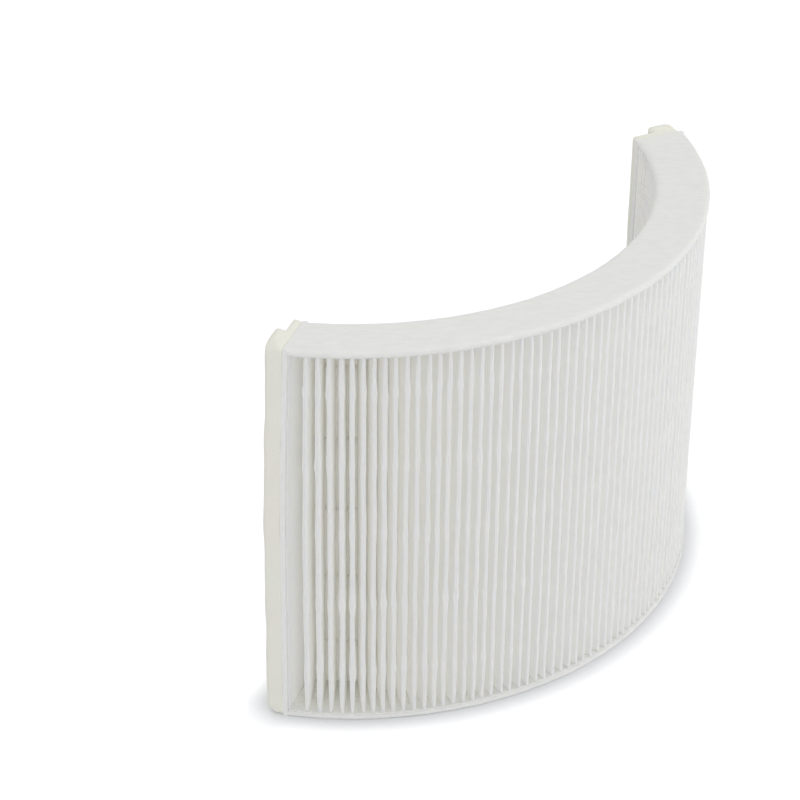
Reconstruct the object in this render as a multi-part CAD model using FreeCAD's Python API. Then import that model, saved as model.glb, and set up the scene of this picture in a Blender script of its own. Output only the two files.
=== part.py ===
import FreeCAD, Part
import math
import os

# Curved, pleated air purifier filter panel: an arc-shaped pack of folded filter
# paper between two felt end caps, with a foam seal down each end.
# Millimetres, +Z up. The outer face bulges towards -Y, and the panel is the same
# on both sides of the YZ plane. The origin is under the middle of its box.
# While the pieces are made, the centre of the arc is at X = Y = 0.

# Overall size of the arc. The half sweep is measured at the middle of the wall,
# and each end leans out from the radius, so the outer face is a little longer.
HEIGHT = 180.0
OUTER_RADIUS = 157.0
WALL = 24.0
HALF_SWEEP = 56.7
END_LEAN = 10.4

# End caps: die-cut felt on a bed of potting glue.
FELT = 2.0
FELT_EDGE_BEVEL = 0.5
GLUE = 1.0
GLUE_SETBACK = 0.8

# Filter paper. Bend radii are on the hollow side of each fold, the spacing is from
# one outer fold to the next, and each bend is drawn with a few flats.
PAPER = 0.5
FOLD_SPACING = 4.56
OUTER_BEND = 0.65
INNER_BEND = 0.45
FOLD_FLATS = 6
CAP_OVERHANG = 0.5
END_VALLEY = 4.6
END_LEG_SETBACK = 1.0

# Rows of hot-melt beads across the inner folds, which hold the pleats apart. They
# are spread evenly between the first and the last, measured from the panel's ends.
BEAD_ROWS = 5
FIRST_BEAD = 24.5
LAST_BEAD = 19.5
BEAD_HEIGHT = 2.0
BEAD_DEPTH = 5.0
BEAD_FILM = 0.3

# Strips on each end, from the pleats outwards: fleece board, foam base, foam lip.
BOARD = 2.2
FOAM_BASE = 3.6
BASE_EDGE_RADIUS = 1.6
FOAM_LIP = 3.8
LIP_WIDTH = 12.4
LIP_EDGE_RADIUS = 2.4

# Sizes that follow from those above.
INNER_RADIUS = OUTER_RADIUS - WALL
MIDDLE_RADIUS = OUTER_RADIUS - WALL / 2
STRIP_WIDTH = WALL / math.cos(math.radians(END_LEAN))
CAP_STACK = FELT + GLUE
PACK_OUTER = OUTER_RADIUS - CAP_OVERHANG
PACK_INNER = INNER_RADIUS + CAP_OVERHANG
BEAD_PITCH = (HEIGHT - FIRST_BEAD - LAST_BEAD) / (BEAD_ROWS - 1)
UP = FreeCAD.Vector(0, 0, 1)
OUTER_FACE = 1
INNER_FACE = -1


def polar(radius, degrees):
    """Point in plan, at an angle from the middle of the outer face towards +X."""
    angle = math.radians(degrees)
    return FreeCAD.Vector(radius * math.sin(angle), -radius * math.cos(angle), 0)


class End:
    """Middle of the wall at one end of the arc, with the directions there."""

    def __init__(self, side):
        self.middle = polar(MIDDLE_RADIUS, side * HALF_SWEEP)
        self.along = polar(1, side * (HALF_SWEEP + END_LEAN))
        self.out = FreeCAD.Vector(-self.along.y * side, self.along.x * side, 0)

    def point(self, along, out):
        """Point at a distance along the end, towards the outer face, and off it."""
        return self.middle + self.along * along + self.out * out


LEFT = End(-1)
RIGHT = End(1)


# Helpers for outlines in plan

def extruded(wire, bottom, height):
    """Straight-sided solid over a closed outline."""
    solid = Part.Face(wire).extrude(UP * height)
    solid.translate(UP * bottom)
    return solid


def polygon(points):
    """Closed outline through points."""
    return Part.makePolygon(points + points[:1])


def point_at_radius(start, direction, radius):
    """Where a line meets a circle round the arc's centre, on the start's side."""
    nearest = start - direction * start.dot(direction)
    half = math.sqrt(radius ** 2 - nearest.Length ** 2)
    meetings = [nearest + direction * half, nearest - direction * half]
    return min(meetings, key=lambda point: (point - start).Length)


# End caps and their glue

def wall_sector(inner, outer, bottom, height):
    """Piece of the curved wall, cut off along both leaning ends."""
    ring = Part.makeCylinder(outer, height).cut(Part.makeCylinder(inner, height))
    ring.translate(UP * bottom)
    meeting = RIGHT.middle.x / RIGHT.along.x
    reach = 2 * OUTER_RADIUS
    wedge = [RIGHT.point(-meeting, 0), LEFT.point(reach, 0), polar(2 * reach, 0), RIGHT.point(reach, 0)]
    return ring.common(extruded(polygon(wedge), bottom, height)).Solids[0]


def felt_cap(bottom, open_face):
    """Felt cap with its two long edges softened on the face that shows."""
    cap = wall_sector(INNER_RADIUS, OUTER_RADIUS, bottom, FELT)
    rims = []
    for edge in cap.Edges:
        if isinstance(edge.Curve, Part.Circle) and abs(edge.CenterOfMass.z - open_face) < FELT / 4:
            rims.append(edge)
    return cap.makeChamfer(FELT_EDGE_BEVEL, rims)


def glue_bed(bottom):
    """Potting glue between a felt cap and the ends of the pleats."""
    return wall_sector(INNER_RADIUS + GLUE_SETBACK, OUTER_RADIUS - GLUE_SETBACK, bottom, GLUE)


# Filter paper

class Fold:
    """A fold in plan: the centre of its bend, and the face that is outside it."""

    def __init__(self, centre, face):
        self.centre = centre
        self.face = face
        self.bend = OUTER_BEND if face == OUTER_FACE else INNER_BEND

    def radius(self, face):
        """Radius of one face of the paper round this fold."""
        return self.bend + PAPER if face == self.face else self.bend

    def tip(self, face):
        """Point of the fold nearest to the panel's outer or inner side."""
        away = self.centre * (self.face / self.centre.Length)
        return self.centre + away * self.radius(face)

    def touch(self, heading, face):
        """Where a straight leg with this heading meets the bend."""
        leftward = FreeCAD.Vector(-math.sin(heading), math.cos(heading), 0)
        return self.centre - leftward * (self.face * self.radius(face))


def end_fold(end):
    """Inner fold beside an end board, whose last leg lies flat on the board."""
    size = INNER_BEND + PAPER
    centre = point_at_radius(end.point(-STRIP_WIDTH / 2, -size), end.along, PACK_INNER + size)
    return Fold(centre, INNER_FACE)


def all_folds():
    """Every fold from the left end to the right end, inner and outer in turn."""
    half_fan = HALF_SWEEP - math.degrees(END_VALLEY / MIDDLE_RADIUS)
    steps = round(math.radians(2 * half_fan) * OUTER_RADIUS / FOLD_SPACING)
    step = 2 * half_fan / steps
    outer_centre = PACK_OUTER - OUTER_BEND - PAPER
    inner_centre = PACK_INNER + INNER_BEND + PAPER
    folds = [end_fold(LEFT)]
    for index in range(steps):
        angle = index * step - half_fan
        folds.append(Fold(polar(outer_centre, angle), OUTER_FACE))
        folds.append(Fold(polar(inner_centre, angle + step / 2), INNER_FACE))
    folds.append(Fold(polar(outer_centre, half_fan), OUTER_FACE))
    folds.append(end_fold(RIGHT))
    return folds


def leg_headings(folds):
    """Heading of each straight leg, in radians, with the two end legs."""
    headings = [math.atan2(-LEFT.along.y, -LEFT.along.x)]
    for fold, after in zip(folds, folds[1:]):
        gap = after.centre - fold.centre
        offset = fold.radius(OUTER_FACE) + after.radius(OUTER_FACE)
        headings.append(math.atan2(gap.y, gap.x) + fold.face * math.asin(offset / gap.Length))
    headings.append(math.atan2(RIGHT.along.y, RIGHT.along.x))
    return headings


def paper_face(folds, headings, face):
    """Points along one face of the paper, from the left end to the right end.

    A fold is round on its full side and pressed flat on its hollow side.
    """
    leg = STRIP_WIDTH / 2 - END_LEG_SETBACK
    depth = PAPER if face == OUTER_FACE else 0
    points = [LEFT.point(leg, -depth)]
    for fold, heading, after in zip(folds, headings, headings[1:]):
        turn = (after - heading) % (2 * math.pi)
        if fold.face == INNER_FACE:
            turn -= 2 * math.pi
        flats = FOLD_FLATS if face == fold.face else 1
        for index in range(flats + 1):
            points.append(fold.touch(heading + turn * index / flats, face))
    points.append(RIGHT.point(leg, -depth))
    return points


def pleated_paper(folds, headings):
    """The whole folded sheet, which stands between the two glue beds."""
    there = paper_face(folds, headings, OUTER_FACE)
    back = paper_face(folds, headings, INNER_FACE)
    return extruded(polygon(there + back[::-1]), CAP_STACK, HEIGHT - 2 * CAP_STACK)


# Hot-melt beads

def bead_outline(folds, headings):
    """Outline of one row: a film over the inner folds, with a plug in each gap."""
    first = folds[0].tip(INNER_FACE)
    last = folds[-1].tip(INNER_FACE)
    points = [first]
    for index, fold in enumerate(folds):
        if fold.face == OUTER_FACE:
            sides = []
            for heading in headings[index:index + 2]:
                touch = fold.touch(heading, INNER_FACE)
                direction = FreeCAD.Vector(math.cos(heading), math.sin(heading), 0)
                low = point_at_radius(touch, direction, PACK_INNER)
                high = point_at_radius(touch, direction, PACK_INNER + BEAD_DEPTH)
                sides.append((low, high))
            (left_low, left_high), (right_low, right_high) = sides
            points += [left_low, left_high, right_high, right_low]
    points.append(last)
    thinner = 1 - BEAD_FILM / PACK_INNER
    film = Part.Arc(last * thinner, polar(PACK_INNER - BEAD_FILM, 0), first * thinner).toShape()
    sides = Part.makePolygon([first * thinner] + points + [last * thinner])
    return Part.Wire(sides.Edges + [film])


# End strips

def end_strip(end, along, out, thickness):
    """Square strip as tall as the panel, against one end."""
    corners = [end.point(along[0], out), end.point(along[1], out)]
    corners += [end.point(along[1], out + thickness), end.point(along[0], out + thickness)]
    return extruded(polygon(corners), 0, HEIGHT)


def softened(strip, end, radius, off, inner_only):
    """Rounds the strip's edges at a distance off the end, or just its inner upright one."""
    soft = []
    for edge in strip.Edges:
        place = edge.CenterOfMass - end.middle
        inner = place.dot(end.along) < -STRIP_WIDTH / 2 + radius
        if abs(place.dot(end.out) - off) < radius / 2 and (inner or not inner_only):
            soft.append(edge)
    return strip.makeFillet(radius, soft)


def end_strips(name, end):
    """Board, foam base and foam lip of one end, by node name."""
    half = STRIP_WIDTH / 2
    base_out = BOARD + FOAM_BASE
    lip_out = base_out + FOAM_LIP
    base = end_strip(end, (-half, half), BOARD, FOAM_BASE)
    lip = end_strip(end, (half - LIP_WIDTH, half), base_out, FOAM_LIP)
    return {
        name + "_side_board": end_strip(end, (-half, half), 0, BOARD),
        name + "_foam_base": softened(base, end, BASE_EDGE_RADIUS, base_out, True),
        name + "_foam_lip": softened(lip, end, LIP_EDGE_RADIUS, lip_out, False),
    }


# All pieces, by node name

def build():
    """Every piece of the panel, with the arc's centre at X = Y = 0."""
    folds = all_folds()
    headings = leg_headings(folds)
    pieces = {
        "bottom_end_cap": felt_cap(0, 0),
        "bottom_glue_bed": glue_bed(FELT),
        "pleated_paper": pleated_paper(folds, headings),
        "top_glue_bed": glue_bed(HEIGHT - CAP_STACK),
        "top_end_cap": felt_cap(HEIGHT - FELT, HEIGHT),
    }
    row = bead_outline(folds, headings)
    for index in range(BEAD_ROWS):
        middle = FIRST_BEAD + index * BEAD_PITCH
        pieces["glue_bead_" + str(index + 1)] = extruded(row, middle - BEAD_HEIGHT / 2, BEAD_HEIGHT)
    pieces.update(end_strips("left", LEFT))
    pieces.update(end_strips("right", RIGHT))
    return pieces


def main():
    os.makedirs("parts", exist_ok=True)
    pieces = build()
    box = Part.makeCompound(list(pieces.values())).optimalBoundingBox()
    to_origin = FreeCAD.Vector(0, -(box.YMin + box.YMax) / 2, 0)
    print("arc centre at Y = %.3f mm" % to_origin.y)
    for name, piece in pieces.items():
        piece.translate(to_origin)
        piece.exportStep("parts/" + name + ".step")
        print(name, "valid" if piece.isValid() else "not valid", "%.0f mm3" % piece.Volume)


main()
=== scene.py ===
# %% [markdown]
# # Curved pleated filter panel
# This lesson dresses a imported CAD model of a filter panel from a room air purifier.
# The panel is a sheet of filter paper in tall thin folds, bent to an arc, glued
# between two felt end caps, with a foam seal down each end.
# The frame brings every solid in at its real size and place. The cells below make the
# finishes first, then the pieces, then the studio, and the last one places the camera.

import math

import bmesh
import bpy
import mathutils
import numpy as np
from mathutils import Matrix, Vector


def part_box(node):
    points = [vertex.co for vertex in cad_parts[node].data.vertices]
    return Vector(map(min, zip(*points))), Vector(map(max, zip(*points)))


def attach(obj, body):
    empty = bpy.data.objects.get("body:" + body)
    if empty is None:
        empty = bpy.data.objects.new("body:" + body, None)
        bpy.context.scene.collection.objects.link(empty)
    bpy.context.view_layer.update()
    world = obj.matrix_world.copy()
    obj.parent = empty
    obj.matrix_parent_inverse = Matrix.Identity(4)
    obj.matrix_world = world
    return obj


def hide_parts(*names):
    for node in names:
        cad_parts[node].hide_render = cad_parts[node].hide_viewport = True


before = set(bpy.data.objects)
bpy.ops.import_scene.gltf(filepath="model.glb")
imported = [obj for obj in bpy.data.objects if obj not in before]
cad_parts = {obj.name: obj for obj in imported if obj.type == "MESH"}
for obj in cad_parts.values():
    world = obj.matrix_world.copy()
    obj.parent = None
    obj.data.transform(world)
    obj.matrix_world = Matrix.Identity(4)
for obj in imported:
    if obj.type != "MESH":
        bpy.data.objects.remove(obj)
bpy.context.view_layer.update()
MM = 0.001
print("nodes:", len(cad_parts))

# %% [markdown]
# ## Measures of the panel
# These are the measures of the CAD solids, so the detailed meshes land where the
# solids are. Only the place of the arc's centre is read from the frame: the lower cap's
# box starts at the middle of the outer face, one outer radius in front of the centre.

# %% Measures
HEIGHT = 180 * MM
OUTER_RADIUS = 157 * MM
WALL = 24 * MM
INNER_RADIUS = OUTER_RADIUS - WALL
MIDDLE_RADIUS = OUTER_RADIUS - WALL / 2
HALF_SWEEP = math.radians(56.7)
END_LEAN = math.radians(10.4)
STRIP_WIDTH = WALL / math.cos(END_LEAN)
FELT = 2 * MM
GLUE = 1 * MM
CAP_STACK = FELT + GLUE
CENTRE_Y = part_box("bottom_end_cap")[0].y + OUTER_RADIUS
print("arc centre at y = %.1f mm" % (CENTRE_Y / MM))

# %% [markdown]
# ## Helpers for materials
# Every finish here is a Principled shader with a little fibre, pore or glue texture on
# it. Colours are picked as sRGB hex values, the way a colour picker shows them, and
# one function turns them into the linear values that the shader expects. Texture
# scales come from real sizes in millimetres: a noise scale is one over the size.

# %% Material helpers
def linear(hex_colour):
    """Linear RGBA of an sRGB hex colour."""
    shares = [int(hex_colour[start:start + 2], 16) / 255 for start in (1, 3, 5)]
    return [s / 12.92 if s <= 0.04045 else ((s + 0.055) / 1.055) ** 2.4 for s in shares] + [1.0]


def per(size_mm):
    """Texture scale for a pattern with features of this size, in millimetres."""
    return 1 / (size_mm * MM)


def add_node(tree, kind, inputs=None, **settings):
    """Adds a node with its settings; each input is a plain value or a socket to link."""
    node = tree.nodes.new(kind)
    for name, value in settings.items():
        setattr(node, name, value)
    for name, value in (inputs or {}).items():
        if isinstance(value, bpy.types.NodeSocket):
            tree.links.new(value, node.inputs[name])
        else:
            node.inputs[name].default_value = value
    return node


def new_material(name):
    """Empty node material and its tree."""
    material = bpy.data.materials.new(name)
    material.use_nodes = True
    material.node_tree.nodes.clear()
    return material, material.node_tree


print("white in linear light:", linear("#ffffff")[:3])

# %% [markdown]
# ## Filter paper
# The pleats are melt-blown polypropylene on a stiff polyester carrier, calendered and
# embossed by a roller. The web is matt and slightly cloudy, because the fibres lie
# thicker in some places, and light that soaks through one fold comes out warm in the
# next. A rough Principled shader with a cloudy tint and a fibre bump gives that.
# Single fibres are far too fine to show, so the bump is drawn at 0.6 mm.
# Subsurface light stands for what the thin paper lets through, and a trace of warm
# emission is a painted glow for what comes through the whole stack of folds from behind.

# %% Filter paper material
CLOUD_MM = 5.0
WEB_MM = 0.6
# Strength and tint of a painted glow: faint warm emission that lightens the whole sheet.
PAINTED_GLOW = 0.024
PAINTED_GLOW_TINT = "#fff8e8"


def make_filter_paper():
    material, tree = new_material("filter_paper")
    place = add_node(tree, "ShaderNodeTexCoord").outputs["Object"]
    clouds = add_node(tree, "ShaderNodeTexNoise", {
        "Vector": place, "Scale": per(CLOUD_MM), "Detail": 4.0})
    fibres = add_node(tree, "ShaderNodeTexNoise", {
        "Vector": place, "Scale": per(WEB_MM), "Detail": 6.0})
    tint = add_node(tree, "ShaderNodeValToRGB", {"Fac": clouds.outputs["Fac"]})
    tint.color_ramp.elements[0].position = 0.3
    tint.color_ramp.elements[0].color = linear("#f4f4f2")
    tint.color_ramp.elements[1].position = 0.7
    tint.color_ramp.elements[1].color = linear("#f7f7f5")
    bump = add_node(tree, "ShaderNodeBump", {
        "Height": fibres.outputs["Fac"], "Strength": 0.35, "Distance": 0.12 * MM})
    shader = add_node(tree, "ShaderNodeBsdfPrincipled", {
        "Base Color": tint.outputs["Color"], "Normal": bump.outputs["Normal"],
        "Roughness": 0.85, "IOR": 1.49, "Specular IOR Level": 0.3,
        "Subsurface Weight": 1.0, "Subsurface Radius": (1.0, 0.95, 0.85),
        "Subsurface Scale": 1.0 * MM,
        "Emission Color": linear(PAINTED_GLOW_TINT), "Emission Strength": PAINTED_GLOW})
    add_node(tree, "ShaderNodeOutputMaterial", {"Surface": shader.outputs["BSDF"]})
    material.cycles.emission_sampling = "NONE"
    return material


FILTER_PAPER = make_filter_paper()
print("made", FILTER_PAPER.name)

# %% [markdown]
# ## Needle-punched felt
# The end caps are die-cut from white polyester felt. Needles lock its fibres, which
# leaves a flat, faintly streaky face with soft clumps about 2 mm across. The streaks
# follow the roll it was cut from, so one noise is stretched that way. A second, finer
# one is the nap, drawn at half a millimetre because single fibres wouldn't show.
# A little sheen stands for loose fibre ends that catch light at the rim.

# %% Felt material
CLUMP_MM = 2.2
NAP_MM = 0.5
ROLL_ANGLE = math.radians(49)
ROLL_STRETCH = 0.35


def make_felt():
    material, tree = new_material("polyester_felt")
    place = add_node(tree, "ShaderNodeTexCoord").outputs["Object"]
    across_roll = add_node(tree, "ShaderNodeMapping", {
        "Vector": place, "Rotation": (0, 0, ROLL_ANGLE)})
    roll = add_node(tree, "ShaderNodeMapping", {
        "Vector": across_roll.outputs["Vector"], "Scale": (ROLL_STRETCH, 1.0, 1.0)})
    streaks = add_node(tree, "ShaderNodeTexNoise", {
        "Vector": roll.outputs["Vector"], "Scale": per(CLUMP_MM), "Detail": 5.0,
        "Roughness": 0.6})
    nap = add_node(tree, "ShaderNodeTexNoise", {
        "Vector": place, "Scale": per(NAP_MM), "Detail": 5.0})
    tint = add_node(tree, "ShaderNodeValToRGB", {"Fac": streaks.outputs["Fac"]})
    tint.color_ramp.elements[0].position = 0.32
    tint.color_ramp.elements[0].color = linear("#f4f4f1")
    tint.color_ramp.elements[1].position = 0.68
    tint.color_ramp.elements[1].color = linear("#fafaf7")
    clumps = add_node(tree, "ShaderNodeBump", {
        "Height": streaks.outputs["Fac"], "Strength": 0.25, "Distance": 0.3 * MM})
    bump = add_node(tree, "ShaderNodeBump", {
        "Height": nap.outputs["Fac"], "Normal": clumps.outputs["Normal"],
        "Strength": 0.4, "Distance": 0.1 * MM})
    shader = add_node(tree, "ShaderNodeBsdfPrincipled", {
        "Base Color": tint.outputs["Color"], "Normal": bump.outputs["Normal"],
        "Roughness": 0.95, "IOR": 1.5, "Specular IOR Level": 0.2, "Sheen Weight": 0.08})
    add_node(tree, "ShaderNodeOutputMaterial", {"Surface": shader.outputs["BSDF"]})
    return material


FELT_CLOTH = make_felt()
print("made", FELT_CLOTH.name)

# %% [markdown]
# ## Hot-melt glue
# The folds stand in a bed of hot-melt, and rows of the same glue keep the pleats
# apart. Set hot-melt is off-white, slightly waxy and smoother than paper, so it is the
# one finish here with a faint soft shine. The bead rows are a little whiter, since
# they are thin and lie on white paper, and they carry the sheet's painted glow.

# %% Glue materials
MOTTLE_MM = 1.6


def make_hot_melt(name, low, high, painted_glow_strength):
    material, tree = new_material(name)
    place = add_node(tree, "ShaderNodeTexCoord").outputs["Object"]
    mottle = add_node(tree, "ShaderNodeTexNoise", {
        "Vector": place, "Scale": per(MOTTLE_MM), "Detail": 4.0})
    tint = add_node(tree, "ShaderNodeValToRGB", {"Fac": mottle.outputs["Fac"]})
    tint.color_ramp.elements[0].position = 0.35
    tint.color_ramp.elements[0].color = linear(low)
    tint.color_ramp.elements[1].position = 0.65
    tint.color_ramp.elements[1].color = linear(high)
    bump = add_node(tree, "ShaderNodeBump", {
        "Height": mottle.outputs["Fac"], "Strength": 0.5, "Distance": 0.3 * MM})
    # Any emission here is a painted glow: the bead rows get the sheet's, the potting none.
    shader = add_node(tree, "ShaderNodeBsdfPrincipled", {
        "Base Color": tint.outputs["Color"], "Normal": bump.outputs["Normal"],
        "Roughness": 0.6, "IOR": 1.48,
        "Emission Color": linear(PAINTED_GLOW_TINT), "Emission Strength": painted_glow_strength})
    add_node(tree, "ShaderNodeOutputMaterial", {"Surface": shader.outputs["BSDF"]})
    material.cycles.emission_sampling = "NONE"
    return material


POTTING_GLUE = make_hot_melt("potting_hot_melt", "#e9e9e7", "#f2f2f0", 0.0)
# The bead rows share the sheet's painted glow.
BEAD_GLUE = make_hot_melt("bead_hot_melt", "#f0efea", "#f7f6f2", PAINTED_GLOW)
print("made", POTTING_GLUE.name, "and", BEAD_GLUE.name)

# %% [markdown]
# ## Spunbond fleece
# The strip that closes each end of the pack is a stiff spunbond fleece. Continuous
# fibres are bonded by heat, so the face is smooth, cool white and only faintly
# streaked along its length. The streaks are drawn 0.8 mm wide, coarser than the
# fibres, so that they show.

# %% Fleece material
FLEECE_STREAK_MM = 0.8
FLEECE_STRETCH = 0.15


def make_fleece():
    material, tree = new_material("spunbond_fleece")
    place = add_node(tree, "ShaderNodeTexCoord").outputs["Object"]
    upright = add_node(tree, "ShaderNodeMapping", {
        "Vector": place, "Scale": (1.0, 1.0, FLEECE_STRETCH)})
    streaks = add_node(tree, "ShaderNodeTexNoise", {
        "Vector": upright.outputs["Vector"], "Scale": per(FLEECE_STREAK_MM), "Detail": 4.0})
    tint = add_node(tree, "ShaderNodeValToRGB", {"Fac": streaks.outputs["Fac"]})
    tint.color_ramp.elements[0].position = 0.35
    tint.color_ramp.elements[0].color = linear("#f4f4f2")
    tint.color_ramp.elements[1].position = 0.65
    tint.color_ramp.elements[1].color = linear("#fafaf8")
    bump = add_node(tree, "ShaderNodeBump", {
        "Height": streaks.outputs["Fac"], "Strength": 0.3, "Distance": 0.12 * MM})
    shader = add_node(tree, "ShaderNodeBsdfPrincipled", {
        "Base Color": tint.outputs["Color"], "Normal": bump.outputs["Normal"],
        "Roughness": 0.8, "IOR": 1.5, "Specular IOR Level": 0.3})
    add_node(tree, "ShaderNodeOutputMaterial", {"Surface": shader.outputs["BSDF"]})
    return material


FLEECE = make_fleece()
print("made", FLEECE.name)

# %% [markdown]
# ## Sealing foam
# The seal is a soft open-cell polyurethane foam, ivory when new, with pores of a few
# tenths of a millimetre. It yellows unevenly, so a broad noise mixes a greener and a
# pinker cream. Voronoi cells are the natural pattern for foam: their borders are the
# walls and their middles are the pores, darkened a little as painted shade.

# %% Foam material
YELLOWING_MM = 26.0
PORE_MM = 0.45
GRAIN_MM = 0.9
# How light the painted shade leaves the middle of each pore.
PORE_SHADE = 0.93
# The Mix node has several sockets of each name, so its colour ones go by number.
COLOUR_A, COLOUR_B, COLOUR_RESULT = 6, 7, 2


def make_foam():
    material, tree = new_material("polyurethane_foam")
    place = add_node(tree, "ShaderNodeTexCoord").outputs["Object"]
    broad = add_node(tree, "ShaderNodeTexNoise", {
        "Vector": place, "Scale": per(YELLOWING_MM), "Detail": 2.0})
    pores = add_node(tree, "ShaderNodeTexVoronoi", {"Vector": place, "Scale": per(PORE_MM)})
    grain = add_node(tree, "ShaderNodeTexNoise", {
        "Vector": place, "Scale": per(GRAIN_MM), "Detail": 5.0})
    tint = add_node(tree, "ShaderNodeValToRGB", {"Fac": broad.outputs["Fac"]})
    tint.color_ramp.elements[0].position = 0.36
    tint.color_ramp.elements[0].color = linear("#f9f9ee")
    tint.color_ramp.elements[1].position = 0.64
    tint.color_ramp.elements[1].color = linear("#fbf8ee")
    shade = add_node(tree, "ShaderNodeMapRange", {
        "Value": pores.outputs["Distance"], "From Min": 0.0, "From Max": 0.6,
        "To Min": PORE_SHADE, "To Max": 1.0})
    colour = add_node(tree, "ShaderNodeMix", {
        "Factor": 1.0, COLOUR_A: tint.outputs["Color"], COLOUR_B: shade.outputs["Result"]},
        data_type="RGBA", blend_type="MULTIPLY")
    rough = add_node(tree, "ShaderNodeBump", {
        "Height": grain.outputs["Fac"], "Strength": 0.35, "Distance": 0.25 * MM})
    bump = add_node(tree, "ShaderNodeBump", {
        "Height": shade.outputs["Result"], "Normal": rough.outputs["Normal"],
        "Strength": 0.5, "Distance": 0.4 * MM})
    shader = add_node(tree, "ShaderNodeBsdfPrincipled", {
        "Base Color": colour.outputs[COLOUR_RESULT], "Normal": bump.outputs["Normal"],
        "Roughness": 0.9, "IOR": 1.5, "Specular IOR Level": 0.2})
    add_node(tree, "ShaderNodeOutputMaterial", {"Surface": shader.outputs["BSDF"]})
    return material


FOAM = make_foam()
print("made", FOAM.name)

# %% [markdown]
# ## Places on the panel
# Everything on the panel follows its arc or one of its two ends, which lean out a
# little from the radius. One helper turns a radius and an angle into x and y. The
# other gives the axes of an end, so a strip there can be drawn as a plain block.

# %% Places on the panel
LEFT, RIGHT = -1, 1


def in_plan(radius, angle):
    """X and Y at an angle from the middle of the outer face, for numbers or arrays."""
    return radius * np.sin(angle), CENTRE_Y - radius * np.cos(angle)


def end_axes(side):
    """Middle of the wall at one end, the direction along it and the one off it."""
    middle = np.array(in_plan(MIDDLE_RADIUS, side * HALF_SWEEP))
    lean = HALF_SWEEP + END_LEAN
    along = np.array([side * math.sin(lean), -math.cos(lean)])
    out = np.array([side * math.cos(lean), math.sin(lean)])
    return middle, along, out


print("middle of the left end: x %.1f, y %.1f mm" % tuple(end_axes(LEFT)[0] / MM))

# %% [markdown]
# ## From points to a piece
# All the soft pieces here are grids of points whose faces close on themselves. One
# helper turns such points into a mesh, which keeps each piece's own code down to a
# formula for where its points lie. It merges points that have come together and turns
# the faces outwards, so that every piece is a clean closed skin.
# The panel is soft, and its left end has been pushed outwards a little, more so lower
# down. The same helper bends every piece near that end, so they stay together.

# %% Making a piece
SHARP_FROM = math.radians(60)
COINCIDENT = 0.001 * MM
SPLAY = 2.4 * MM
SPLAY_REACH = 14 * MM
SPLAY_TOP = 178 * MM
SPLAY_FULL = 70 * MM


def splayed(points):
    """Moves the lower part of the left end outwards."""
    middle, _, out = end_axes(LEFT)
    inwards = (middle - points[:, :2]) @ out
    near = np.clip(1 - inwards / SPLAY_REACH, 0, 1)
    down = np.clip((SPLAY_TOP - points[:, 2]) / (SPLAY_TOP - SPLAY_FULL), 0, 1)
    down = np.sin(down * math.pi / 2)
    moved = points.copy()
    moved[:, :2] += SPLAY * (near * down)[:, None] * out
    return moved


def clean(mesh):
    """Merges points that coincide, and turns the faces of the closed mesh outwards."""
    solid = bmesh.new()
    solid.from_mesh(mesh)
    bmesh.ops.remove_doubles(solid, verts=solid.verts, dist=COINCIDENT)
    if solid.calc_volume(signed=True) < 0:
        bmesh.ops.reverse_faces(solid, faces=solid.faces)
    solid.to_mesh(mesh)
    solid.free()


def new_piece(name, points, faces, material, replaced):
    """Mesh object that rides on the panel and stands for a CAD node."""
    mesh = bpy.data.meshes.new(name)
    mesh.from_pydata(splayed(points).tolist(), [], faces)
    mesh.validate()
    clean(mesh)
    mesh.shade_smooth()
    mesh.set_sharp_from_angle(angle=SHARP_FROM)
    piece = bpy.data.objects.new(name, mesh)
    bpy.context.scene.collection.objects.link(piece)
    piece.data.materials.append(material)
    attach(piece, "root")
    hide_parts(replaced)
    triangles = sum(len(face.vertices) - 2 for face in mesh.polygons)
    print(name, len(mesh.vertices), "points,", triangles, "triangles")
    return piece


print("the left end moves out by up to %.1f mm" % (SPLAY / MM))

# %% [markdown]
# ## The folded sheet
# This is the piece that makes the panel: 0.5 mm paper, folded every 4.56 mm, with
# round outer folds and tighter inner ones. Every fold is a bend tangent to two straight
# legs, as on the CAD solid, but a real pleat isn't straight up and down: hot-melt
# between the legs swells the outer folds at five heights, the tips are pressed flat
# where they ran against the tooling, and each fold wanders a little.
# A sweep can't do that, so the sheet is a grid. Each row of points is the whole
# section at one height, and the bends' sizes and places vary smoothly from row to row.
# The spacing isn't quite even either: the folds left of the middle stand closer.

# %% Fold sizes
PAPER = 0.5 * MM
FOLD_SPACING = 4.56 * MM
OUTER_BEND = 0.65 * MM
INNER_BEND = 0.45 * MM
CAP_OVERHANG = 0.5 * MM
END_VALLEY = 4.6 * MM
PACK_OUTER = OUTER_RADIUS - CAP_OVERHANG
PACK_INNER = INNER_RADIUS + CAP_OVERHANG
HALF_FAN = HALF_SWEEP - END_VALLEY / MIDDLE_RADIUS
PLEATS = round(2 * HALF_FAN * OUTER_RADIUS / FOLD_SPACING)
PLEAT_ANGLE = 2 * HALF_FAN / PLEATS
OUTER_FOLDS = PLEATS + 1
DRIFT = math.radians(1.35)
DRIFT_FROM = math.radians(-47)


def outer_fold_angles():
    """Even spacing with a slow drift, which packs the folds tighter left of the middle."""
    even = np.linspace(-HALF_FAN, HALF_FAN, OUTER_FOLDS)
    share = np.clip((even - DRIFT_FROM) / (HALF_FAN - DRIFT_FROM), 0, 1)
    return even - DRIFT * np.sin(math.pi * share)


FOLD_ANGLES = outer_fold_angles()
print("outer folds:", OUTER_FOLDS, "every %.2f degrees" % math.degrees(PLEAT_ANGLE))

# %% [markdown]
# ## Rows of the grid
# The shape changes fastest near the glue rows and the caps, so the rows of points lie
# closer together there. That spends the triangles where they show.

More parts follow.
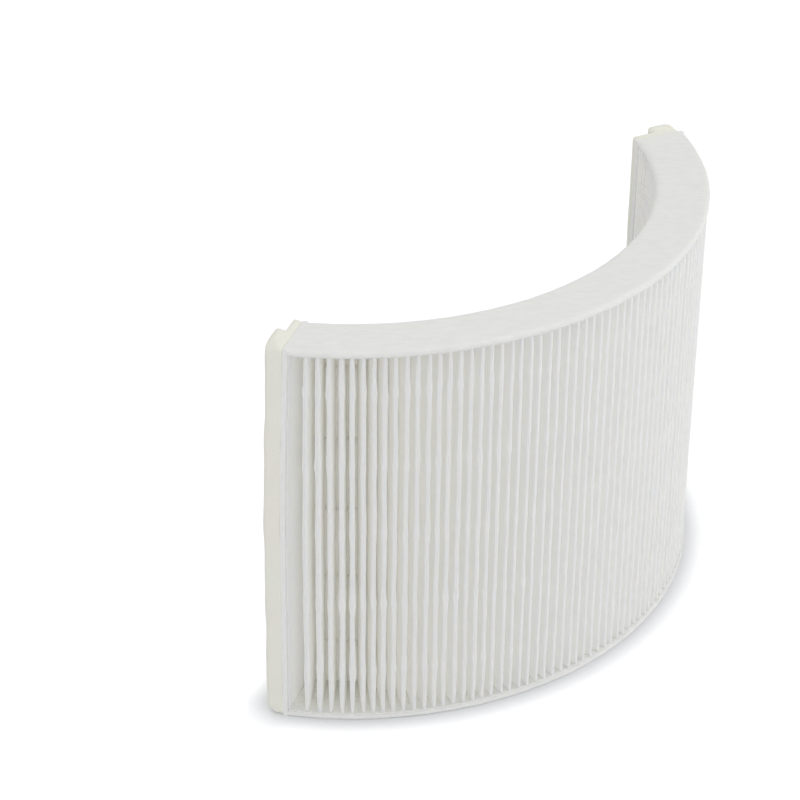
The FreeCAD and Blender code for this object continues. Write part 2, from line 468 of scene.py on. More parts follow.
# %% Row heights
BEAD_ROWS = 5
FIRST_BEAD = 24.5 * MM
LAST_BEAD = 19.5 * MM
BEAD_HEIGHTS = np.linspace(FIRST_BEAD, HEIGHT - LAST_BEAD, BEAD_ROWS)
FROM_BEAD = np.array([0.9, 2.0, 3.4, 5.6, 9.2]) * MM
FROM_BOTTOM = np.array([0, 1.2, 2.8, 5, 8]) * MM
FROM_TOP = np.array([0, 1.2, 2.8, 5]) * MM


def row_heights():
    """Heights of the grid's rows, from the lower glue bed to the upper one."""
    parts = [CAP_STACK + FROM_BOTTOM, HEIGHT - CAP_STACK - FROM_TOP, BEAD_HEIGHTS]
    for middle in BEAD_HEIGHTS:
        parts += [middle + FROM_BEAD, middle - FROM_BEAD]
    return np.sort(np.concatenate(parts))


HEIGHTS = row_heights()
print("rows:", len(HEIGHTS), "closest %.2f mm apart" % (np.diff(HEIGHTS).min() / MM))

# %% [markdown]
# ## How the folds vary
# The swelling at a glue row is lens-shaped, 4 to 5 mm tall, and strong on some folds
# and faint on others. Near the caps the tips narrow, because the ends were pinched
# while the potting glue set. The rest is slow waviness, made of a few sines with
# random phases. Every draw comes from a generator with a fixed seed, so each run gives
# the same sheet.

# %% Fold variation
SWELL_RANGE = (0.12, 0.6)
SWELL_LENGTH_MM = (1.7, 2.5)
SWELL_SHIFT = 0.7 * MM
PINCH = 0.28
PINCH_REACH = 4.5 * MM
PINCH_FALL = 1.3


def waves(along, count, lengths_mm, rng):
    """Smooth random waviness: one column per item, a sum of sines with its own phases."""
    total = np.zeros((len(along), count))
    for length in lengths_mm:
        phase = rng.uniform(0, 2 * math.pi, count)
        total += np.sin(2 * math.pi * along[:, None] / (length * MM) + phase)
    return total / math.sqrt(len(lengths_mm))


def swelling(rng):
    """Share by which each outer fold is wider at each height."""
    total = np.zeros((len(HEIGHTS), OUTER_FOLDS))
    for middle in BEAD_HEIGHTS:
        strength = rng.uniform(*SWELL_RANGE, OUTER_FOLDS)
        length = rng.uniform(*SWELL_LENGTH_MM, OUTER_FOLDS) * MM
        shift = rng.normal(0, SWELL_SHIFT, OUTER_FOLDS)
        total += strength / (1 + ((HEIGHTS[:, None] - middle - shift) / length) ** 2)
    return total


def pinch():
    """Share of its width that a fold keeps near the caps."""
    from_end = np.minimum(HEIGHTS - CAP_STACK, HEIGHT - CAP_STACK - HEIGHTS)
    return 1 - PINCH * np.exp(-(from_end / PINCH_REACH) ** PINCH_FALL)


print("a fold keeps %.2f of its width at a cap" % pinch().min())

# %% [markdown]
# ## Places of the folds
# Each fold is a bend round a centre, so three tables hold the sheet: the angle and the
# radius of each centre, and the radius of each bend on its hollow side. A table has a
# row for each height and a column for each fold. The folds near the left end spread
# wider than those of the middle, which were packed tighter.

# %% Outer folds
WIDTH_WAVE, WIDTH_WAVES_MM = 0.05, (19, 31, 53)
WIDTH_RANGE = (0.93, 1.07)
SIDE_WAVE, SIDE_WAVES_MM = 0.13 * MM, (27, 45, 90)
SIDE_SCATTER = 0.16 * MM
DEPTH_WAVE, DEPTH_WAVES_MM = 0.12 * MM, (35, 60, 110)
DEPTH_SCATTER = 0.25 * MM
WIDE_TIP, NARROW_TIP = 0.86, 0.56
WIDE_TIPS_TO, NARROW_TIPS_FROM = math.radians(-33), math.radians(-20)
LEAST_TIP = 0.6 * MM
TIP_FLATNESS = 0.75


def outer_folds(rng):
    """Angles, radii and bends of the outer folds."""
    width = 1 + WIDTH_WAVE * waves(HEIGHTS, OUTER_FOLDS, WIDTH_WAVES_MM, rng) + swelling(rng)
    width *= rng.uniform(*WIDTH_RANGE, OUTER_FOLDS) * pinch()[:, None]
    width *= np.interp(FOLD_ANGLES, [WIDE_TIPS_TO, NARROW_TIPS_FROM], [WIDE_TIP, NARROW_TIP])
    full = np.maximum((OUTER_BEND + PAPER) * width, LEAST_TIP)
    sideways = SIDE_WAVE * waves(HEIGHTS, OUTER_FOLDS, SIDE_WAVES_MM, rng)
    sideways += rng.normal(0, SIDE_SCATTER, OUTER_FOLDS)
    depth = np.abs(DEPTH_WAVE * waves(HEIGHTS, OUTER_FOLDS, DEPTH_WAVES_MM, rng))
    depth += rng.uniform(0, DEPTH_SCATTER, OUTER_FOLDS)
    radius = PACK_OUTER - TIP_FLATNESS * full - depth
    return FOLD_ANGLES + sideways / PACK_OUTER, radius, full - PAPER


print("narrowest tip: %.1f mm across" % (2 * LEAST_TIP / MM))

# %% [markdown]
# ## Inner folds
# The inner folds lie halfway between the outer ones. The first and the last are
# different: each touches the fleece strip of its end, so that its last leg can lie flat
# on it, and these two don't wander. Together with the outer folds they fill the tables.
# Every second column is an outer fold, which bulges outwards (1), and the others bulge
# inwards (-1).

# %% Inner folds
INNER_WAVE, INNER_WAVES_MM = 0.1 * MM, (30, 70)
INNER_SCATTER = 0.12 * MM
SHEET_SEED = 11


def inner_folds(rng):
    """Angles, radii and bends of the inner folds."""
    full = INNER_BEND + PAPER
    lean_gap = MIDDLE_RADIUS * math.sin(END_LEAN) + full
    end_angle = HALF_SWEEP + END_LEAN - math.asin(lean_gap / (PACK_INNER + full))
    middles = (FOLD_ANGLES[1:] + FOLD_ANGLES[:-1]) / 2
    even = np.concatenate([[-end_angle], middles, [end_angle]])
    sideways = INNER_WAVE * waves(HEIGHTS, len(even), INNER_WAVES_MM, rng)
    sideways += rng.normal(0, INNER_SCATTER, len(even))
    sideways[:, [0, -1]] = 0
    angle = even + sideways / PACK_INNER
    return angle, np.full_like(angle, PACK_INNER + full), np.full_like(angle, INNER_BEND)


def all_folds():
    """Angles, radii and bends of all folds in turn, from left to right."""
    rng = np.random.default_rng(SHEET_SEED)
    tables = np.empty((3, len(HEIGHTS), 2 * OUTER_FOLDS + 1))
    tables[:, :, 1::2] = outer_folds(rng)
    tables[:, :, ::2] = inner_folds(rng)
    return tables


ANGLE, RADIUS, BEND = all_folds()
FULL = BEND + PAPER
FOLD_X, FOLD_Y = in_plan(RADIUS, ANGLE)
IS_OUTER = np.arange(ANGLE.shape[1]) % 2 == 1
BULGE = np.where(IS_OUTER, 1, -1)
print("folds:", ANGLE.shape[1], "at", ANGLE.shape[0], "heights")

# %% [markdown]
# ## Legs between the folds
# Each leg is the common tangent of two neighbouring bends, so its heading follows from
# the two centres and radii. The two end legs follow their fleece strips instead.

# %% Leg headings
def leg_headings():
    """Heading of each leg at each height, from the left end to the right."""
    over = np.where(IS_OUTER, FULL, BEND)
    gap_x, gap_y = np.diff(FOLD_X), np.diff(FOLD_Y)
    reach = (over[:, :-1] + over[:, 1:]) / np.hypot(gap_x, gap_y)
    between = np.arctan2(gap_y, gap_x) + BULGE[:-1] * np.arcsin(reach)
    ends = (-end_axes(LEFT)[1], end_axes(RIGHT)[1])
    first, last = (np.full((len(HEIGHTS), 1), math.atan2(y, x)) for x, y in ends)
    return np.concatenate([first, between, last], axis=1)


HEADINGS = leg_headings()
print("legs:", HEADINGS.shape[1])

# %% [markdown]
# ## From bends to a sheet
# A fold is round on its full side, where seven points share the turn, and nearly sharp
# on its hollow side. The outer tips are then squared: their circle becomes a flatter
# curve with quick corners. The outer side from left to right and the inner side on the
# way back make one closed loop at each height, and faces join each loop to the next.

# %% Sides of the sheet
TIP_SQUARENESS = 0.85
FULL_SIDE_STEPS = 6
HOLLOW_SIDE_STEPS = 2


def squared(x, y, size, angle):
    """Presses a bend flat towards the outside, and squares its corners."""
    along = (x * np.cos(angle) + y * np.sin(angle)) / size
    out = (x * np.sin(angle) - y * np.cos(angle)) / size
    flat = TIP_FLATNESS * np.abs(out) ** TIP_SQUARENESS
    wide = np.sign(along) * np.abs(along) ** TIP_SQUARENESS
    along = np.where(out > 0, wide, along) * size
    out = np.where(out > 0, flat, out) * size
    return along * np.cos(angle) + out * np.sin(angle), along * np.sin(angle) - out * np.cos(angle)


def sheet_side(outer_side):
    """Points of one side of the sheet, left to right: x and y at each height."""
    columns = []
    for fold, bulge in enumerate(BULGE):
        before, after = HEADINGS[:, fold], HEADINGS[:, fold + 1]
        turn = (after - before) % (2 * math.pi)
        if bulge < 0:
            turn -= 2 * math.pi
        is_full = outer_side == (bulge > 0)
        size = FULL[:, fold] if is_full else BEND[:, fold]
        steps = FULL_SIDE_STEPS if is_full else HOLLOW_SIDE_STEPS
        for step in range(steps + 1):
            heading = before + turn * step / steps
            x, y = bulge * size * np.sin(heading), -bulge * size * np.cos(heading)
            if bulge > 0:
                x, y = squared(x, y, size, ANGLE[:, fold])
            columns.append(np.stack([FOLD_X[:, fold] + x, FOLD_Y[:, fold] + y], axis=1))
    return columns


print("points round a fold:", FULL_SIDE_STEPS + 1, "outside,", HOLLOW_SIDE_STEPS + 1, "inside")

# %% [markdown]
# ## The sheet's mesh
# The end legs stop a little short of the fleece strip's outer edge, one paper
# thickness apart on the two sides of the sheet. The same tube of faces will serve for
# every swept piece below.

# %% Folded sheet
END_LEG_SETBACK = 1.0 * MM


def tube_faces(rows, columns):
    """Quads round a tube of rows, each a closed loop of columns, with flat ends."""
    faces = []
    for row in range(rows - 1):
        for column in range(columns):
            beside = (column + 1) % columns
            low = row * columns
            high = low + columns
            faces.append((low + column, low + beside, high + beside, high + column))
    faces.append(tuple(reversed(range(columns))))
    faces.append(tuple(range((rows - 1) * columns, rows * columns)))
    return faces


def leg_edge(side, depth):
    """Where an end leg stops on the fleece: one point at each height."""
    middle, along, out = end_axes(side)
    point = middle + along * (STRIP_WIDTH / 2 - END_LEG_SETBACK) - out * depth
    return np.tile(point, (len(HEIGHTS), 1))


def make_sheet():
    outer = [leg_edge(LEFT, PAPER)] + sheet_side(outer_side=True) + [leg_edge(RIGHT, PAPER)]
    inner = [leg_edge(LEFT, 0)] + sheet_side(outer_side=False) + [leg_edge(RIGHT, 0)]
    loop = np.stack(outer + inner[::-1], axis=1)
    height = np.broadcast_to(HEIGHTS[:, None, None], loop.shape[:2] + (1,))
    points = np.concatenate([loop, height], axis=2).reshape(-1, 3)
    faces = tube_faces(len(HEIGHTS), loop.shape[1])
    new_piece("folded_sheet", points, faces, FILTER_PAPER, "pleated_paper")


make_sheet()

# %% [markdown]
# ## Sections swept along the arc
# The caps and the glue all follow the wall, and all end on a slant. One helper places
# a section at many stations: a point keeps its radius, and its angle is a share of
# the angle at which the slanted end cuts that radius. Another draws the section with
# round edges, and a third lets its outer and inner edges wander, each in its own way.

# %% Arc sweep
ROUNDING_POINTS = 5


def end_cut(radius):
    """Angle at which the slanted end of the wall meets a radius."""
    return HALF_SWEEP + END_LEAN - np.arcsin(MIDDLE_RADIUS * math.sin(END_LEAN) / radius)


def arc_sweep(share, radius, height):
    """Grid along the wall: shares from -1 to 1, with a closed section at each."""
    x, y = in_plan(radius, share[:, None] * end_cut(radius))
    points = np.stack([x, y, np.broadcast_to(height, x.shape)], axis=2)
    return points.reshape(-1, 3), tube_faces(len(share), x.shape[1])


def soft_section(width, thickness, low_edge, high_edge, across):
    """Closed section with round edges: offsets across the wall and heights."""
    turn = np.linspace(0, math.pi / 2, ROUNDING_POINTS)
    half = width / 2
    low_x = half - low_edge * (1 - np.sin(turn))
    low_z = low_edge * (1 - np.cos(turn))
    high_x = half - high_edge * (1 - np.cos(turn))
    high_z = thickness - high_edge * (1 - np.sin(turn))
    inside = np.linspace(-1, 1, across + 1)[1:-1]
    over, under = np.full(across - 1, thickness), np.zeros(across - 1)
    x = np.concatenate([
        low_x, high_x, -inside * high_x[-1], -high_x[::-1], -low_x[::-1], inside * low_x[0]])
    z = np.concatenate([low_z, high_z, over, high_z[::-1], low_z[::-1], under])
    return x, z


def wandering(across, edges):
    """Radius of each point of a section, from how far the inner and outer edge wander."""
    to_outer = (across / WALL + 0.5)[None, :]
    return MIDDLE_RADIUS + across[None, :] + edges[:, 1:] * to_outer + edges[:, :1] * (to_outer - 1)


print("end cut at the middle of the wall: %.1f degrees" % math.degrees(end_cut(MIDDLE_RADIUS)))

# %% [markdown]
# ## End caps
# A felt cap is soft: its rim is rounded, and its outline wanders by a tenth of a
# millimetre or so where the die pushed the fibres. The face that shows also has slow
# hollows, which catch the light as faint clouds. They fade out towards both rims, and
# on the lower cap they only go upwards, since it stands on the floor.

# %% Felt caps
CAP_STATIONS = 260
CAP_COLUMNS = 12
CAP_RIM = 1.5 * MM
FLOOR_RIM = 0.9 * MM
HIDDEN_RIM = 0.15 * MM
RIM_WAVE, RIM_WAVES_MM = 0.09 * MM, (11, 23, 47)
HOLLOW_WAVE, HOLLOW_WAVES_MM = 0.06 * MM, (13, 31)
HOLLOW_FADE = 4


def felt_cap(name, replaced, top, seed):
    rng = np.random.default_rng(seed)
    share = np.linspace(-1, 1, CAP_STATIONS)
    low_rim, high_rim = (HIDDEN_RIM, CAP_RIM) if top else (FLOOR_RIM, HIDDEN_RIM)
    across, height = soft_section(WALL, FELT, low_rim, high_rim, CAP_COLUMNS)
    along = share * HALF_SWEEP * OUTER_RADIUS
    rim = RIM_WAVE * waves(along, 2, RIM_WAVES_MM, rng)
    hollow = HOLLOW_WAVE * waves(along, len(across), HOLLOW_WAVES_MM, rng)
    shows = (height > FELT / 2) if top else (height < FELT / 2)
    lift = hollow * shows * (1 - np.abs(2 * across / WALL) ** HOLLOW_FADE)
    if not top:
        lift = np.abs(lift)
    base = HEIGHT - FELT if top else 0
    points, faces = arc_sweep(share, wandering(across, rim), base + height[None, :] + lift)
    new_piece(name, points, faces, FELT_CLOTH, replaced)


felt_cap("top_felt", "top_end_cap", top=True, seed=21)
felt_cap("bottom_felt", "bottom_end_cap", top=False, seed=22)

# %% [markdown]
# ## Potting glue
# The glue bed squeezed out unevenly when the pleats were pressed in. From outside it
# reads as the ragged upper edge of the lower rim, so its radius wanders along the arc.
# Its rounder edge is the one away from the felt.

# %% Glue beds
POTTING_WIDTH = WALL - 0.6 * MM
POTTING_SHARE = 0.999
POTTING_COLUMNS = 6
FELT_SIDE_EDGE = 0.05 * MM
FREE_EDGE = 0.4 * MM
RAGGED_WAVE, RAGGED_WAVES_MM = 0.15 * MM, (4.7, 8.3, 19)


def potting(name, replaced, top, seed):
    rng = np.random.default_rng(seed)
    share = np.linspace(-POTTING_SHARE, POTTING_SHARE, CAP_STATIONS)
    across, height = soft_section(POTTING_WIDTH, GLUE, FELT_SIDE_EDGE, FREE_EDGE, POTTING_COLUMNS)
    if top:
        height, across = GLUE - height[::-1], across[::-1]
    ragged = RAGGED_WAVE * waves(share * HALF_SWEEP * OUTER_RADIUS, 2, RAGGED_WAVES_MM, rng)
    bottom = HEIGHT - CAP_STACK if top else FELT
    points, faces = arc_sweep(share, wandering(across, ragged), bottom + height[None, :])
    new_piece(name, points, faces, POTTING_GLUE, replaced)


potting("top_potting", "top_glue_bed", top=True, seed=31)
potting("bottom_potting", "bottom_glue_bed", top=False, seed=32)

# %% [markdown]
# ## Rows of glue beads
# A thread of hot-melt was laid across the flat sheet, so after folding it fills the
# gaps between the inner folds and runs over their tips as a thin film. Each row is one
# swept section whose depth swells in every gap and shrinks to the film at every tip.

# %% Glue beads
BEAD_HALF_HEIGHT = 1.0 * MM
BEAD_DEPTH = 5.0 * MM
BEAD_FILM = 0.12 * MM
BEAD_TUCK = 0.25 * MM
BEAD_COLUMNS = 14
BEAD_POINTS_A_PLEAT = 10
BEAD_SEED = 40
PLEATS_PAST_END = 0.6
GAP_FULLNESS = 0.6
LEAST_FILM = 0.75
LEAST_BEAD_HEIGHT = 0.82
BEAD_WAVES_MM = (6.1, 13, 27)
UNEVEN_DEPTH, UNEVEN_FILM, UNEVEN_HEIGHT = 0.08, 0.15, 0.15 * MM


def bead_row(index, middle):
    rng = np.random.default_rng(BEAD_SEED + index)
    half_row = HALF_FAN + PLEAT_ANGLE * PLEATS_PAST_END
    count = round(2 * half_row / PLEAT_ANGLE * BEAD_POINTS_A_PLEAT)
    stations = np.linspace(-half_row, half_row, count)
    fold = np.interp(stations, FOLD_ANGLES, np.arange(OUTER_FOLDS))
    in_gap = np.clip(0.5 + 0.5 * np.cos(2 * math.pi * fold), 0, 1) ** GAP_FULLNESS
    uneven = waves(stations * INNER_RADIUS, 3, BEAD_WAVES_MM, rng)
    depth = BEAD_TUCK + (BEAD_DEPTH - BEAD_TUCK) * in_gap * (1 + UNEVEN_DEPTH * uneven[:, 0])
    film = BEAD_FILM * (LEAST_FILM + (1 - LEAST_FILM) * in_gap) * (1 + UNEVEN_FILM * uneven[:, 1])
    half = BEAD_HALF_HEIGHT * (LEAST_BEAD_HEIGHT + (1 - LEAST_BEAD_HEIGHT) * in_gap)
    turn = np.linspace(0, 2 * math.pi, BEAD_COLUMNS, endpoint=False)
    out = np.cos(turn)[None, :]
    radius = PACK_INNER + np.where(out > 0, depth[:, None] * out, film[:, None] * out)
    height = middle + UNEVEN_HEIGHT * uneven[:, 2:] + half[:, None] * np.sin(turn)[None, :]
    x, y = in_plan(radius, stations[:, None])
    points = np.stack([x, y, height], axis=2).reshape(-1, 3)
    faces = tube_faces(len(stations), len(turn))
    number = str(index + 1)
    new_piece("bead_row_" + number, points, faces, BEAD_GLUE, "glue_bead_" + number)


for index, middle in enumerate(BEAD_HEIGHTS):
    bead_row(index, middle)

# %% [markdown]
# ## Blocks with cuts
# The strips at the ends start as blocks. A block from Blender's own cube would have to
# be subdivided and bevelled, and its edges would then be hard to bend by formula. This
# one is a skin of quads, cut at chosen steps along its three axes, with the cuts
# closest together near the edges, where the rounding needs them.

# %% Blocks
EDGE_CUTS = 5


def axis_steps(low, high, edge, inner):
    """Values from low to high, close together in an edge zone at each end."""
    turn = np.linspace(0, math.pi / 2, EDGE_CUTS + 1)
    near = low + edge * (1 - np.cos(turn))
    far = high - edge * (1 - np.cos(turn))
    between = np.linspace(low + edge, high - edge, inner + 1)
    return np.concatenate([near, between[1:-1], far[::-1]])


def block_shell(a_steps, b_steps, c_steps):
    """Points and faces of a block's surface, cut at the steps along its three axes."""
    sizes = [len(a_steps), len(b_steps), len(c_steps)]
    index = {}
    points = []
    faces = []

    def corner(cell):
        if cell not in index:
            index[cell] = len(points)
            points.append((a_steps[cell[0]], b_steps[cell[1]], c_steps[cell[2]]))
        return index[cell]

    for axis in range(3):
        first, second = (axis + 1) % 3, (axis + 2) % 3
        for end in (0, sizes[axis] - 1):
            for i in range(sizes[first] - 1):
                for j in range(sizes[second] - 1):
                    quad = []
                    for di, dj in ((0, 0), (1, 0), (1, 1), (0, 1)):
                        cell = [0, 0, 0]
                        cell[axis], cell[first], cell[second] = end, i + di, j + dj
                        quad.append(corner(tuple(cell)))
                    faces.append(tuple(quad if end else reversed(quad)))
    return np.array(points), faces


print("cuts in a 10 mm side:", axis_steps(0, 10, 2, 3).round(2))

# %% [markdown]
# ## Soft and worn edges
# Foam is cut with a knife and handled by hand, so its edges are round. The foot of the
# foam and its top outer corner are worn rounder than the rest. It was cut a millimetre
# or two too long, so it stands a little above the caps, except right beside the fleece.

# %% Soft edges
BOARD = 2.2 * MM
FOAM_BASE = 3.6 * MM
FOAM_LIP = 3.8 * MM
FOAM_STAND = BOARD + FOAM_BASE + FOAM_LIP
FOAM_RISE = {LEFT: 1.6 * MM, RIGHT: 1.0 * MM}
SETTLED_WIDTH = 5 * MM
FOOT_DEPTH = 5.0 * MM
FOOT_HEIGHT = 7.0 * MM
WORN_HEIGHT = 4.5 * MM
WORN_WIDTH = 7 * MM
WORN_REACH = 24 * MM
LEAST_WEAR = {LEFT: 0, RIGHT: 0.85}
NO_LENGTH = 1e-9


def rounded(points, low, high, edge, covered_from):
    """Rounds a block's edges, but not where it is bonded or lies under the next strip."""
    inner_low, inner_high = low + edge, high - edge
    inner_low[1] = low[1]
    core = np.clip(points, inner_low, inner_high)
    core[:, 1] = np.where(points[:, 0] >= covered_from, points[:, 1], core[:, 1])
    away = points - core
    length = np.linalg.norm(away, axis=1, keepdims=True)
    return core + away * np.minimum(1, edge / np.maximum(length, NO_LENGTH))


def worn(points, side):
    """Rounds the foam's foot off, and the outer corner of its top."""
    off = np.clip((points[:, 1] - (FOAM_STAND - FOOT_DEPTH)) / FOOT_DEPTH, 0, 1)
    from_foot = np.clip(1 - points[:, 2] / WORN_REACH, 0, 1)
    lift = FOOT_HEIGHT * (1 - np.sqrt(1 - off ** 2)) * from_foot
    corner = np.clip((points[:, 0] - STRIP_WIDTH / 2 + WORN_WIDTH) / WORN_WIDTH, 0, 1)
    share = np.clip((points[:, 1] - BOARD) / (FOAM_STAND - BOARD), LEAST_WEAR[side], 1)
    from_top = np.clip(1 - (HEIGHT - points[:, 2]) / WORN_REACH, 0, 1)
    drop = WORN_HEIGHT * (1 - np.sqrt(1 - corner ** 2)) * share * from_top
    beside_board = np.clip(1 - (points[:, 1] - BOARD) / SETTLED_WIDTH, 0, 1)
    settled = FOAM_RISE[side] * beside_board * from_top
    raised = points.copy()
    raised[:, 2] += lift - np.maximum(drop, settled)
    return raised


print("foam and fleece stand %.1f mm off the pleats" % (FOAM_STAND / MM))

# %% [markdown]
# ## End strips
# Each end has a white fleece strip, a wide foam base and a foam lip on the outer half.
# All three are blocks in the end's own axes: along the end, off it, and up. Their faces
# wander a little, the foam's more than the fleece's. The lips were stuck on by eye, so
# each has its own width and its own distance from the outer edge.

# %% Strips
STRIP_CUTS = (8, 3, 60)
STRIP_WAVES_MM = (21, 38, 83)
STRIP_SEED = 60
# Material, slot, radius of the edges and unevenness of the faces.
FLEECE_STRIP = (FLEECE, "side_fleece", 0.2 * MM, 0.05 * MM)
FOAM_STRIP = (FOAM, "foam", 1.8 * MM, 0.2 * MM)
LIP_SPAN = {LEFT: (0, 14 * MM), RIGHT: (1.8 * MM, 14.2 * MM)}
LIP_RISE = 1.6 * MM


def strip(name, replaced, side, low, high, kind, covered_from=math.inf):
    """Block between two corners, given as along, off and up, with soft edges."""
    material, slot, edge, unevenness = kind
    rng = np.random.default_rng(STRIP_SEED * (side + 2) + (material == FOAM))
    low, high = np.array(low), np.array(high)
    points, faces = block_shell(*[
        axis_steps(low[axis], high[axis], edge, STRIP_CUTS[axis]) for axis in range(3)])
    points = rounded(points, low, high, edge, covered_from)
    wander = waves(points[:, 2], 2, STRIP_WAVES_MM, rng) * unevenness
    points[:, 0] += wander[:, 0] * (points[:, 0] - low[0]) / (high[0] - low[0])
    points[:, 1] += wander[:, 1] * points[:, 1] / FOAM_STAND
    if material == FOAM:
        points = worn(points, side)
    middle, along, out = end_axes(side)
    plan = middle + points[:, :1] * along + points[:, 1:2] * out
    placed = np.column_stack([plan, points[:, 2]])
    return new_piece(name, placed, faces, material, replaced)


def end_strips(name, side):
    """The three strips of one end, from the pleats outwards."""
    half = STRIP_WIDTH / 2
    lip_high, lip_low = half - LIP_SPAN[side][0], half - LIP_SPAN[side][1]
    base_off = BOARD + FOAM_BASE
    base_top, lip_top = HEIGHT + FOAM_RISE[side], HEIGHT + LIP_RISE
    strip(name + "_fleece_strip", name + "_side_board", side,
          (-half, 0, 0), (half, BOARD, HEIGHT), FLEECE_STRIP)
    base = strip(name + "_foam", name + "_foam_base", side,
                 (-half, BOARD, 0), (half, base_off, base_top), FOAM_STRIP, lip_low)
    lip = strip(name + "_foam_rib", name + "_foam_lip", side,
                (lip_low, base_off, 0), (lip_high, FOAM_STAND, lip_top), FOAM_STRIP)


end_strips("left", LEFT)
end_strips("right", RIGHT)

# %% [markdown]
# ## Floor
# The photograph is a product shot on white. The floor is a roll of backdrop paper:
# matt, pale and plain. For rays that come straight from the camera, or off a glossy
# surface, it also gives off a little light, which lifts it to white. An occlusion node
# holds that light back near the panel, as a painted contact shadow.

# %% Floor
FLOOR_SIZE = 8.0
FLOOR_GLOW = 0.5
# Reach and depth of the painted contact shadow in the floor's glow.
CONTACT_REACH = 14 * MM
CONTACT_DEPTH = 3.6


def make_backdrop_paper():
    material, tree = new_material("backdrop_paper")
    rays = add_node(tree, "ShaderNodeLightPath")
    seen = add_node(tree, "ShaderNodeMath", {
        0: rays.outputs["Is Camera Ray"], 1: rays.outputs["Is Glossy Ray"]},
        operation="MAXIMUM")
    open_sky = add_node(tree, "ShaderNodeAmbientOcclusion", {"Distance": CONTACT_REACH})
    unshaded = add_node(tree, "ShaderNodeMath", {
        0: open_sky.outputs["AO"], 1: CONTACT_DEPTH}, operation="POWER")
    lit = add_node(tree, "ShaderNodeMath", {
        0: seen.outputs["Value"], 1: unshaded.outputs["Value"]}, operation="MULTIPLY")
    glow = add_node(tree, "ShaderNodeMath", {
        0: lit.outputs["Value"], 1: FLOOR_GLOW}, operation="MULTIPLY")
    shader = add_node(tree, "ShaderNodeBsdfPrincipled", {
        "Base Color": linear("#e4e5e8"), "Roughness": 0.9, "Specular IOR Level": 0.1,
        "Emission Color": linear("#ffffff"), "Emission Strength": glow.outputs["Value"]})
    add_node(tree, "ShaderNodeOutputMaterial", {"Surface": shader.outputs["BSDF"]})
    return material


def make_floor():
    half = FLOOR_SIZE / 2
    corners = [(-half, -half, 0), (half, -half, 0), (half, half, 0), (-half, half, 0)]
    mesh = bpy.data.meshes.new("floor")
    mesh.from_pydata(corners, [], [(0, 1, 2, 3)])
    mesh.materials.append(make_backdrop_paper())
    floor = bpy.data.objects.new("floor", mesh)
    bpy.context.scene.collection.objects.link(floor)
    print("floor of", FLOOR_SIZE, "m in", mesh.materials[0].name)


make_floor()

# %% [markdown]
# ## World
# The world is an even dome of soft light. Seen directly, or in a glossy or clear
# surface, it is plain white, whatever its strength as a light.

# %% World
DOME_STRENGTH = 0.54


def make_world():
    world = bpy.data.worlds.new("studio")
    bpy.context.scene.world = world
    world.use_nodes = True
    tree = world.node_tree
    tree.nodes.clear()
    rays = add_node(tree, "ShaderNodeLightPath")
    mirrored = add_node(tree, "ShaderNodeMath", {
        0: rays.outputs["Is Glossy Ray"], 1: rays.outputs["Is Transmission Ray"]},
        operation="MAXIMUM")
    seen = add_node(tree, "ShaderNodeMath", {
        0: mirrored.outputs["Value"], 1: rays.outputs["Is Camera Ray"]},
        operation="MAXIMUM")
    strength = add_node(tree, "ShaderNodeMapRange", {
        "Value": seen.outputs["Value"], "To Min": DOME_STRENGTH, "To Max": 1.0})
    back = add_node(tree, "ShaderNodeBackground", {
        "Color": linear("#ffffff"), "Strength": strength.outputs["Result"]})
    add_node(tree, "ShaderNodeOutputWorld", {"Surface": back.outputs["Background"]})


make_world()
print("dome strength:", DOME_STRENGTH)

# %% [markdown]
# ## Softboxes
# One softbox stands beside the camera and shines down between the nearest folds. A
# stronger one on the right picks out the edge of each fold, and a third hangs above,
# behind the panel. Light has to bounce many times to get down between the folds, so it
# is let to do so.

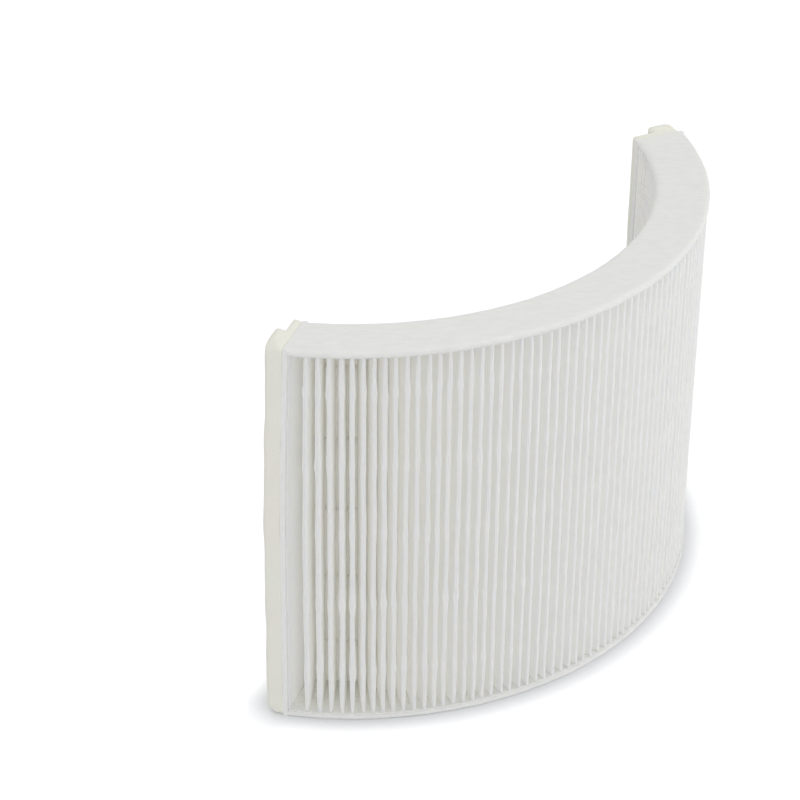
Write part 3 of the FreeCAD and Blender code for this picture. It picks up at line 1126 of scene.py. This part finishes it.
# %% Softboxes
# Place, power in watts and width in metres of each softbox.
SOFTBOXES = {
    "left_softbox": ((-1.1, -1.35, 0.75), 6.2, 1.0),
    "right_softbox": ((1.65, -1.15, 0.8), 11.0, 0.8),
    "top_softbox": ((-0.5, 0.8, 1.75), 6.2, 1.4),
}
DEEP_BOUNCES = 16
OTHER_BOUNCES = 2


def make_softbox(name, place, power, width):
    lamp = bpy.data.lights.new(name, "AREA")
    lamp.size = width
    lamp.energy = power
    holder = bpy.data.objects.new(name, lamp)
    bpy.context.scene.collection.objects.link(holder)
    holder.location = place
    toward = mathutils.Vector((0, 0, HEIGHT / 2)) - holder.location
    holder.rotation_euler = toward.to_track_quat("-Z", "Y").to_euler()


for name, (place, power, width) in SOFTBOXES.items():
    make_softbox(name, place, power, width)
bpy.context.scene.cycles.diffuse_bounces = DEEP_BOUNCES
bpy.context.scene.cycles.max_bounces = DEEP_BOUNCES + OTHER_BOUNCES
print(len(SOFTBOXES), "softboxes in place")

# %% [markdown]
# ## Camera
# The camera's place was fitted to the rims of the panel in the photograph: a long
# lens, a good metre away, looking down by 31 degrees at the left part of the outer
# face, with half a degree of roll. The lens has no shift, so the same camera works from
# any other side.

# %% Camera
CAMERA_PLACE = (-0.7744, -0.5782, 0.6925)
CAMERA_HEADING = math.radians(40.55)
CAMERA_TILT = math.radians(31.2)
CAMERA_ROLL = math.radians(0.56)
LENS_MM = 118.0
SENSOR_MM = 36.0


def make_camera():
    camera = bpy.data.cameras.new("camera")
    camera.lens = LENS_MM
    camera.sensor_width = SENSOR_MM
    holder = bpy.data.objects.new("camera", camera)
    bpy.context.scene.collection.objects.link(holder)
    holder.location = CAMERA_PLACE
    turned = mathutils.Matrix.Rotation(CAMERA_HEADING - math.pi / 2, 3, "Z")
    tilted = mathutils.Matrix.Rotation(math.pi / 2 - CAMERA_TILT, 3, "X")
    rolled = mathutils.Matrix.Rotation(CAMERA_ROLL, 3, "Z")
    holder.rotation_euler = (turned @ tilted @ rolled).to_euler()
    bpy.context.scene.camera = holder


make_camera()
bpy.context.scene.view_settings.view_transform = "Standard"
print("camera at", CAMERA_PLACE)
